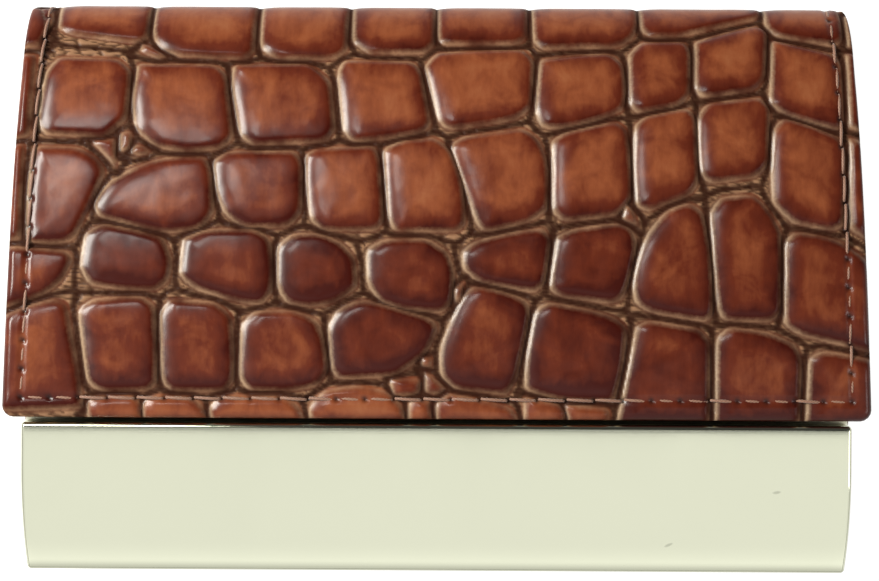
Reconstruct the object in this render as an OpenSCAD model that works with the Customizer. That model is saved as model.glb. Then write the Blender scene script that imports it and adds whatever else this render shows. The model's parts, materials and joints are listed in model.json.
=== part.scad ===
// Business card case: a thin pressed-steel card tray wrapped in one piece of sewn, embossed leather.
// The case lies on its back. X is its width, +Y points to the spine, +Z to the front of the flap.
// The origin is the middle of the back face.

/* [Case] */
// Width of the leather cover at the flap's lower edge
cover_w = 96; // [90:0.5:110]
// How much narrower each side of the cover is at the spine
side_taper = 1.5; // [0:0.1:1.8]
// Height of the closed case, from the tray's lower edge to the spine
case_h = 64; // [62:0.2:72]
// Thickness of the closed case at the flap's lower edge
case_t = 13; // [12.6:0.1:16]
// Height of the part that the flap leaves bare
bare_h = 17.3; // [14:0.1:20]

/* [Cover] */
// Thickness of the outer leather
leather_t = 0.8; // [0.6:0.1:1]
// Thickness of the stiffener in the flap
flap_board_t = 0.9; // [0.7:0.1:1]
// Thickness of the stiffener in the back panel
back_board_t = 0.5; // [0.4:0.1:0.6]
// Thickness of the lining
lining_t = 0.5; // [0.3:0.1:0.6]
// Thickness of the leather turned in over the stiffener's edge
hem_t = 0.4; // [0.2:0.1:0.4]
// Width of the turned-in leather
hem_w = 5; // [3:0.5:5]
// Radius of the rounded lower half of the spine
spine_r = 3; // [2.5:0.1:4]
// Fullness of the flap's curve: 2 is an ellipse, more is squarer
flap_fullness = 2.3; // [2:0.1:3]
// Radius of the flap's and the back panel's lower corners
corner_r = 1; // [0.5:0.1:3]

/* [Seam] */
// Distance of the seam from the edge of the cover
seam_inset = 2.2; // [1.8:0.1:3]
// Number of stitches along the lower edge
edge_stitches = 29; // [15:1:40]
// Number of stitches up each side of the flap
flap_side_stitches = 16; // [8:1:24]
// Number of stitches up each side of the back panel
back_side_stitches = 18; // [8:1:24]
// Diameter of the thread
thread_d = 0.44; // [0.3:0.02:0.6]

/* [Tray] */
// Width of the tray
tray_w = 91.8; // [91.6:0.1:92.4]
// Thickness of the tray's sheet
sheet_t = 0.5; // [0.3:0.1:0.6]
// Height of the bright front panel above the back face
panel_z = 12.2; // [11.8:0.1:15]
// Height of the recessed neck under the flap
neck_z = 9.6; // [9:0.1:9.7]
// How far the neck reaches up under the flap
neck_top_y = 6; // [0:0.5:7]
// Radius of the thumb notch in the neck
notch_r = 10; // [6:0.5:14]
// Thickness of each end cap
cap_t = 0.4; // [0.3:0.1:0.5]

/* [Closure] */
// Diameter of the four magnets
magnet_d = 9; // [6:0.5:9]
// Distance of the magnets from the middle of the case
magnet_x = 24; // [15:1:35]
// Distance of the magnets above the flap's lower edge
magnet_up = 10; // [10:0.5:11]

/* [Hidden] */

leather_color = "saddlebrown";
thread_color = "tan";
lining_color = [0.2, 0.11, 0.07];
board_color = [0.72, 0.66, 0.55];
steel_color = [0.86, 0.87, 0.8];
magnet_color = "silver";

// heights along the case
spine_y = case_h / 2;
lip_y = -case_h / 2 + bare_h;
back_low_y = -case_h / 2 + 1.2;
flap_reach = spine_y - lip_y;
flap_rise = case_t - spine_r;

// the gap in the spine where the flap's half of the leather ends and the back panel's begins
split_gap = 0.3;
// what two pieces of one body that meet overlap or stand apart by
touch = 0.01;
// the angles on the flap's curve between which the stiffener thins out towards the spine
board_full_angle = 38;
board_none_angle = 22;
flap_board_top_y = spine_y - 5.8;
back_board_top_y = spine_y - 6.2;
lining_inset = 1;
curve_steps = 30;

// the flap's angles of the first and last needle hole, and the steps for measuring along its curve
first_hole_angle = 87.2;
last_hole_angle = 7;
measure_steps = 160;
// the share of each stitch that is down in its needle hole, at either end
stitch_dive = 0.11;

// the tray's section
lip_gap = 0.5;
shoulder_y = lip_y - lip_gap;
shoulder_r = 0.55;
fillet_r = 1.3;
roll_reach = 12;
roll_angle = 30;
bend_r = 0.6;
heel_reach = 3.2;
cover_t = leather_t + back_board_t + lining_t;
tape_t = 0.2;
tray_z = cover_t + tape_t;
tray_low_y = -case_h / 2;
tray_top_y = spine_y - 4.8;
roll_y = tray_low_y + roll_reach;
roll_run = roll_reach - bend_r * (1 - sin(roll_angle));
roll_drop = roll_run * tan(roll_angle) / 2;
bend_z = panel_z - roll_drop - bend_r * cos(roll_angle);
heel_y = tray_low_y + heel_reach;
cap_clearance = 0.5;
cap_set_back = 0.1;
cap_top_y = spine_y - 6;
// the flap's angles that the caps' upper edge follows
cap_angles = [26 : 4 : 64];
cap_step_back = 0.3;
tape_edge = 5;
pad_edge = 3;
pad_t = 0.4;
flap_magnet_t = 0.5;
tray_magnet_t = 1.2;
magnet_y = lip_y + magnet_up;
magnet_gap = 0.2;
flap_magnet_z = case_t - leather_t - flap_board_t + 2 * touch;

// ---- curves ----

// points on an elliptical arc round (cy, cz)
function arc(cy, cz, ry, rz, from, to, steps) =
    [for (i = [0 : steps]) let (a = from + (to - from) * i / steps) [cy + ry * cos(a), cz + rz * sin(a)]];

// a smooth rise from 0 at lo to 1 at hi
function ease(v, lo, hi) = let (u = max(0, min(1, (v - lo) / (hi - lo)))) u * u * (3 - 2 * u);

// a point in the flap's section, at a depth below the leather: angle 90 is the lip, 0 the spine
function flap_point(angle, depth) = [
    lip_y + (flap_reach - depth) * pow(cos(angle), 2 / flap_fullness),
    spine_r + (flap_rise - depth) * pow(sin(angle), 2 / flap_fullness)];

// how much of the flap's stiffener is left at an angle
function board_left(angle) = ease(angle, board_none_angle, board_full_angle);

// depths below the flap's outer face where its hem starts, its stiffener ends and its lining ends
function hem_depth(angle) = leather_t + (flap_board_t - hem_t) * board_left(angle);
function board_depth(angle) = leather_t + flap_board_t * board_left(angle);
function lining_depth(angle) = board_depth(angle) + lining_t;

// the depths between which one of the flap's layers lies
function layer_depths(layer, angle) =
    layer == "skin" ? [0, leather_t]
    : layer == "under_skin" ? [leather_t, board_depth(angle)]
    : layer == "hem" ? [hem_depth(angle), board_depth(angle)]
    : [board_depth(angle), lining_depth(angle)];

// the first angle of the flap's half of the spine
split_angle = asin(pow(split_gap / 2 / flap_rise, flap_fullness / 2));
flap_angles = [for (i = [0 : curve_steps]) split_angle + (90 - split_angle) * i / curve_steps];

// half of the cover's width at a height
function half_w(y) = cover_w / 2 - side_taper * max(0, (y - lip_y) / flap_reach);

// the cover's outline in plan from a lower edge up to the spine, drawn in from its edges
function outline(low, inset) =
    let (r = max(0.2, corner_r - inset / 2), yl = low + inset, waist = max(lip_y, yl + r),
        wl = half_w(yl) - inset, wh = half_w(spine_y) - inset,
        right = concat(arc(wl - r, yl + r, r, r, -90, 0, 6), [[half_w(waist) - inset, waist]],
            arc(wh - r, spine_y - r, r, r, 0, 90, 6)))
    concat(right, [for (i = [len(right) - 1 : -1 : 0]) [-right[i][0], right[i][1]]]);

// ---- building blocks ----

// a section in Y and Z, drawn out along X
module across(width) {
    rotate([90, 0, 90]) linear_extrude(width, center = true) children();
}

// everything inside the cover's outline
module inside(low, inset) {
    translate([0, 0, -1]) linear_extrude(case_t + 2) polygon(outline(low, inset));
}

// everything below a height, where a stiffener ends
module below(y) {
    translate([-cover_w, -case_h, -2]) cube([2 * cover_w, case_h + y, case_t + 4]);
}

// one layer of the flap, wider than the cover: "skin", "under_skin", "hem" or "lining"
module flap_band(layer) {
    near = [for (a = flap_angles) flap_point(a, layer_depths(layer, a)[0])];
    far = [for (a = flap_angles) flap_point(a, layer_depths(layer, a)[1])];
    across(cover_w + 2) polygon(concat(near, [for (i = [curve_steps : -1 : 0]) far[i]]));
}

// one layer of the back panel between two depths, with the lower half of the spine;
// past the stiffener both depths come down to their values in the soft spine
module back_band(near, far, near_spine, far_spine) {
    cy = spine_y - spine_r;
    first = -asin(split_gap / 2 / spine_r);
    across(cover_w + 2) polygon(concat(
        [[back_low_y, near], [back_board_top_y, near]],
        arc(cy, spine_r, spine_r - near_spine, spine_r - near_spine, -90, first, 12),
        arc(cy, spine_r, spine_r - far_spine, spine_r - far_spine, first, -90, 12),
        [[back_board_top_y, far], [back_low_y, far]]));
}

// one straight stitch between two points
module stitch(p, q) {
    d = q - p;
    translate(p) rotate([0, acos(d[2] / norm(d)), atan2(d[1], d[0])])
        cylinder(h = norm(d), d = thread_d, $fn = 16);
}

// the stitches of a row of needle holes; the thread dives at each hole
module stitches(holes) {
    for (i = [0 : len(holes) - 2]) {
        run = holes[i + 1] - holes[i];
        stitch(holes[i] + stitch_dive * run, holes[i + 1] - stitch_dive * run);
    }
}

// the flap's angle at each step of the seam up its side, by the length of curve up to there
function seam_run() =
    let (angles = [for (i = [0 : measure_steps])
        first_hole_angle + (last_hole_angle - first_hole_angle) * i / measure_steps])
    [for (i = 0, s = 0; i <= measure_steps;
        s = s + (i < measure_steps ? norm(flap_point(angles[i + 1], 0) - flap_point(angles[i], 0)) : 0),
        i = i + 1) [s, angles[i]]];

// needle holes up one side of the flap, evenly spaced along its curve, on its outer or inner face
function flap_side_holes(side, inner) =
    let (run = seam_run(), total = run[measure_steps][0])
    [for (i = [0 : flap_side_stitches]) let (
        a = lookup(total * i / flap_side_stitches, run),
        sunk = inner ? lining_depth(a) - thread_d / 2 : thread_d / 2,
        p = flap_point(a, sunk)) [side * (half_w(p[0]) - seam_inset), p[0], p[1]]];

// needle holes along a straight lower edge
function edge_holes(y, z) =
    let (w = half_w(y) - seam_inset)
    [for (i = [0 : edge_stitches]) [-w + 2 * w * i / edge_stitches, y, z]];

// needle holes up one side of the back panel
function back_side_holes(side, z) =
    let (low = back_low_y + seam_inset, high = spine_y - spine_r)
    [for (i = [0 : back_side_stitches]) let (y = low + (high - low) * i / back_side_stitches)
        [side * (half_w(y) - seam_inset), y, z]];

// a flat round magnet standing on a height
module magnet(side, z, thickness) {
    color(magnet_color) translate([side * magnet_x, magnet_y, z])
        cylinder(h = thickness, d = magnet_d, $fn = 48);
}

// a point on the panel's slow roll, a parabola from level to the roll's angle, drawn in from its face
function roll_point(share, in) =
    let (slope = atan(tan(roll_angle) * share))
    [roll_y - roll_run * share + in * sin(slope), panel_z - roll_drop * share * share - in * cos(slope)];

// outer or inner face of the tray's front sheet, from the neck's top round to the heel
function front_path(in) = concat(
    [[neck_top_y, neck_z - in]],
    arc(shoulder_y + fillet_r, neck_z + fillet_r, fillet_r + in, fillet_r + in, -90, -180, 6),
    arc(shoulder_y - shoulder_r, panel_z - shoulder_r, shoulder_r - in, shoulder_r - in, 0, 90, 8),
    [for (i = [0 : 14]) roll_point(i / 14, in)],
    arc(tray_low_y + bend_r, bend_z, bend_r - in, bend_r - in, 90 + roll_angle, 180, 6),
    arc(heel_y, bend_z, heel_reach - in, bend_z - tray_z - in, 180, 270, 14));

// ---- the cover's back panel ----

module back_leather() {
    color(leather_color) {
        intersection() {
            back_band(0, leather_t, 0, leather_t);
            inside(back_low_y, 0);
        }
        difference() {
            intersection() {
                back_band(leather_t, leather_t + back_board_t, leather_t, leather_t + touch);
                inside(back_low_y, 0);
                below(back_board_top_y);
            }
            inside(back_low_y, leather_t);
        }
    }
}

module back_board() {
    color(board_color) intersection() {
        back_band(leather_t, leather_t + back_board_t, leather_t, leather_t + touch);
        inside(back_low_y, leather_t);
        below(back_board_top_y);
    }
}

module back_lining() {
    color(lining_color) intersection() {
        back_band(leather_t + back_board_t, cover_t, leather_t, leather_t + lining_t);
        inside(back_low_y, lining_inset);
    }
}

module back_thread(z) {
    color(thread_color) {
        stitches(edge_holes(back_low_y + seam_inset, z));
        for (side = [-1, 1]) stitches(back_side_holes(side, z));
    }
}

module back_needle_thread() { back_thread(thread_d / 2); }
module back_bobbin_thread() { back_thread(cover_t - thread_d / 2); }

// ---- the tray ----

module mounting_tape() {
    color("white") translate([-tray_w / 2 + tape_edge, heel_y + tape_edge, cover_t])
        cube([tray_w - 2 * tape_edge, tray_top_y - heel_y - 2 * tape_edge, tape_t]);
}

module tray_back() {
    color(steel_color) translate([-tray_w / 2, heel_y, tray_z])
        cube([tray_w, tray_top_y - heel_y, sheet_t]);
}

module tray_front() {
    inner = front_path(sheet_t);
    color(steel_color) difference() {
        across(tray_w) polygon(concat(front_path(0), [for (i = [len(inner) - 1 : -1 : 0]) inner[i]]));
        translate([0, neck_top_y, neck_z - 2]) cylinder(h = 4, r = notch_r, $fn = 64);
    }
}

// the cap's free upper edge follows the inside of the flap
module end_cap(side) {
    path = front_path(sheet_t);
    bottom = tray_z + sheet_t;
    under_flap = [for (a = cap_angles) let (p = flap_point(a, lining_depth(a) + cap_clearance))
        if (p[0] > neck_top_y + 1 && p[0] < cap_top_y - cap_step_back) p];
    front_y = neck_top_y + cap_step_back;
    front_z = under_flap[len(under_flap) - 1][1];
    color(steel_color) translate([side * (tray_w / 2 - cap_set_back - cap_t / 2), 0, 0])
        across(cap_t) polygon(concat(
            [for (i = [1 : len(path) - 1]) path[i]],
            [[cap_top_y, bottom], [cap_top_y, under_flap[0][1] - cap_step_back]],
            under_flap,
            [[front_y, front_z], [front_y, neck_z - sheet_t]]));
}

module left_end_cap() { end_cap(-1); }
module right_end_cap() { end_cap(1); }

module card_pad() {
    color("dimgray") translate([-tray_w / 2 + pad_edge, heel_y + pad_edge, tray_z + sheet_t])
        cube([tray_w - 2 * pad_edge, tray_top_y - heel_y - 2 * pad_edge, pad_t]);
}

module left_tray_magnet() { magnet(-1, neck_z - sheet_t - tray_magnet_t, tray_magnet_t); }
module right_tray_magnet() { magnet(1, neck_z - sheet_t - tray_magnet_t, tray_magnet_t); }

// ---- the flap ----

module flap_leather() {
    color(leather_color) {
        intersection() {
            flap_band("skin");
            inside(lip_y, 0);
        }
        // the edge turned down over the stiffener
        difference() {
            intersection() {
                flap_band("under_skin");
                inside(lip_y, 0);
                below(flap_board_top_y);
            }
            inside(lip_y, leather_t);
        }
        // the hem under the lining
        difference() {
            intersection() {
                flap_band("hem");
                inside(lip_y, leather_t - touch);
                below(flap_board_top_y);
            }
            inside(lip_y, hem_w);
        }
    }
}

module flap_board() {
    color(board_color) difference() {
        intersection() {
            flap_band("under_skin");
            inside(lip_y, leather_t);
            below(flap_board_top_y);
        }
        difference() {
            flap_band("hem");
            inside(lip_y, hem_w);
        }
        for (side = [-1, 1]) translate([side * magnet_x, magnet_y, flap_magnet_z - 1])
            cylinder(h = case_t - flap_magnet_z + 1, d = magnet_d + 2 * magnet_gap, $fn = 48);
    }
}

module flap_lining() {
    color(lining_color) intersection() {
        flap_band("lining");
        inside(lip_y, lining_inset);
    }
}

module flap_thread(inner) {
    depth = inner ? lining_depth(90) - thread_d / 2 : thread_d / 2;
    color(thread_color) {
        stitches(edge_holes(lip_y + seam_inset, case_t - depth));
        for (side = [-1, 1]) stitches(flap_side_holes(side, inner));
    }
}

module flap_needle_thread() { flap_thread(false); }
module flap_bobbin_thread() { flap_thread(true); }

module left_flap_magnet() { magnet(-1, flap_magnet_z, flap_magnet_t); }
module right_flap_magnet() { magnet(1, flap_magnet_z, flap_magnet_t); }

back_leather();
back_board();
back_lining();
back_needle_thread();
back_bobbin_thread();
mounting_tape();
tray_back();
tray_front();
left_end_cap();
right_end_cap();
card_pad();
left_tray_magnet();
right_tray_magnet();
flap_leather();
flap_board();
flap_lining();
left_flap_magnet();
right_flap_magnet();
flap_needle_thread();
flap_bobbin_thread();
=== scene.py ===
"""A business card case: a polished steel tray in one piece of embossed, sewn leather.

Lengths in this script are in millimetres; a mesh is turned into metres when it is made.
The leather, its lining and the two threads are laid out flat first, as (x, s): x across the case and
s along the leather, from the flap's lower edge up the flap, over the spine and down the back panel.
"""
import json
import math

import bpy
import numpy as np
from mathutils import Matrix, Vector


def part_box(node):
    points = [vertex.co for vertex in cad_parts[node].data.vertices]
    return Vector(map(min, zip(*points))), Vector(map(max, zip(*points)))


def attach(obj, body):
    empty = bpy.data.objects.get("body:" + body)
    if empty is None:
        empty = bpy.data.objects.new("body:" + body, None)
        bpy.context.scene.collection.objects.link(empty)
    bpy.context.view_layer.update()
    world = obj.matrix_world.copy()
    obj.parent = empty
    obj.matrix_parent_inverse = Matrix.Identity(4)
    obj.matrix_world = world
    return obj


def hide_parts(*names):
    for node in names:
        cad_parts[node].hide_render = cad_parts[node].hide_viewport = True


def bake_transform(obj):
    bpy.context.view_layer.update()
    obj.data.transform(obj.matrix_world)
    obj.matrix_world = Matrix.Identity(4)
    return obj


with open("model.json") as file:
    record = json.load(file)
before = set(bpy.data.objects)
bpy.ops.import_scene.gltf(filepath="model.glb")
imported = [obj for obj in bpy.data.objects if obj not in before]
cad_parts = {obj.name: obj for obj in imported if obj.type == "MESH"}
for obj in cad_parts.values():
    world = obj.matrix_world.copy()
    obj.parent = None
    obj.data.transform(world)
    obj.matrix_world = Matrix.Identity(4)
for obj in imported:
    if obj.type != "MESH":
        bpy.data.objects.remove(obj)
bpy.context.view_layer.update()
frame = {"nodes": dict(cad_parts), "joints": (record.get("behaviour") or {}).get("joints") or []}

MM = 0.001

# ---- sizes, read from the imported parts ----


def corners(node):
    """A CAD node's lowest and highest corner, in mm."""
    low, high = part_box(node)
    return np.array(low) / MM, np.array(high) / MM


flap_low, flap_high = corners("flap_leather")
back_low, _ = corners("back_leather")
_, lining_high = corners("flap_lining")
tray_low, tray_high = corners("tray_front")
pad_low, pad_high = corners("card_pad")
_, magnet_high = corners("left_tray_magnet")
hinge = np.array(frame["joints"][0]["pos_m"]) / MM

LIP_Y, CASE_T, COVER_W = flap_low[1], flap_high[2], flap_high[0] * 2
SPINE_Y, SPINE_R = hinge[1], hinge[2]
BACK_LOW_Y = back_low[1]
FLAP_REACH, FLAP_RISE = SPINE_Y - LIP_Y, CASE_T - SPINE_R
FLAP_FULLNESS = 2.3
SIDE_TAPER = 1.5
CORNER_R = 1.3

LEATHER_T = 0.8
LINING_T = 0.5
LINING_INSET = COVER_W / 2 - lining_high[0]
HEM_T = 0.4
HEM_W = 5.0
FLAP_FOLD = 1.7        # leather, stiffener and hem in the flap
SPINE_FOLD = 0.8       # only leather in the soft spine
BACK_FOLD = 1.3        # leather and stiffener in the back panel

SEAM_INSET = 2.2
STITCH_PITCH = 3.15
THREAD_R = 0.17


def ease(v, low, high):
    """A smooth rise from 0 at low to 1 at high."""
    u = np.clip((np.asarray(v, float) - low) / (high - low), 0, 1)
    return u * u * (3 - 2 * u)


def unit(rows):
    """Vectors, one to a row, each brought to length 1."""
    return rows / np.linalg.norm(rows, axis=1)[:, None]


# ---- the cover's section, as a path with its outward normal ----


def make_path():
    """Points and normals along the cover's outer face, from the lip over the spine to the back."""
    a = np.radians(np.linspace(90, 0, 1500))
    power = 2 / FLAP_FULLNESS
    flap = np.stack([LIP_Y + FLAP_REACH * np.cos(a).clip(0) ** power,
                     SPINE_R + FLAP_RISE * np.sin(a).clip(0) ** power], 1)
    b = np.radians(np.linspace(0, -90, 200))[1:]
    spine = np.stack([SPINE_Y - SPINE_R + SPINE_R * np.cos(b), SPINE_R + SPINE_R * np.sin(b)], 1)
    y = np.linspace(SPINE_Y - SPINE_R, BACK_LOW_Y, 400)[1:]
    back = np.stack([y, np.zeros_like(y)], 1)
    points = np.concatenate([flap, spine, back])
    run = np.concatenate([[0], np.cumsum(np.linalg.norm(np.diff(points, axis=0), axis=1))])
    even = np.linspace(0, run[-1], 3000)
    yz = np.stack([np.interp(even, run, points[:, i]) for i in (0, 1)], 1)
    along = unit(np.gradient(yz, even, axis=0))
    normal = np.stack([-along[:, 1], along[:, 0]], 1)
    spine_s = run[len(flap) - 1]
    back_s = run[len(flap) + len(spine) - 1]
    return even, yz, normal, spine_s, back_s


PATH_S, PATH_YZ, PATH_N, SPINE_S, BACK_S = make_path()
HIDE_L = PATH_S[-1]


def half_width(s):
    """Half of the cover's width at s."""
    y = np.interp(s, PATH_S, PATH_YZ[:, 0])
    return COVER_W / 2 - SIDE_TAPER * np.clip((y - LIP_Y) / FLAP_REACH, 0, None)


def fold_depth(s):
    """Depth of the turned edge at s: how deep the leather's fold goes below its outer face."""
    flap = SPINE_FOLD + (FLAP_FOLD - SPINE_FOLD) * (1 - ease(s, SPINE_S - 12, SPINE_S - 5.5))
    back = SPINE_FOLD + (BACK_FOLD - SPINE_FOLD) * ease(s, BACK_S, BACK_S + 3.2)
    return np.where(np.asarray(s) < SPINE_S, flap, back)


def on_path(s, table):
    """The Y and Z values of one of the path's tables at s."""
    return np.stack([np.interp(s, PATH_S, table[:, i]) for i in (0, 1)], -1)


def place(x, s, depth):
    """Hide coordinates to millimetres in the frame, at a depth below the leather's outer face."""
    yz = on_path(s, PATH_YZ) - np.asarray(depth)[..., None] * on_path(s, PATH_N)
    return np.column_stack([x, yz])


# ---- the embossed scales ----
# Each is a tone and the corners (x, s) of an outline. They follow the rows of belly scales on the flap:
# five full rows, the row that the spine bends away and the row that the lower edge cuts off.

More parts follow.
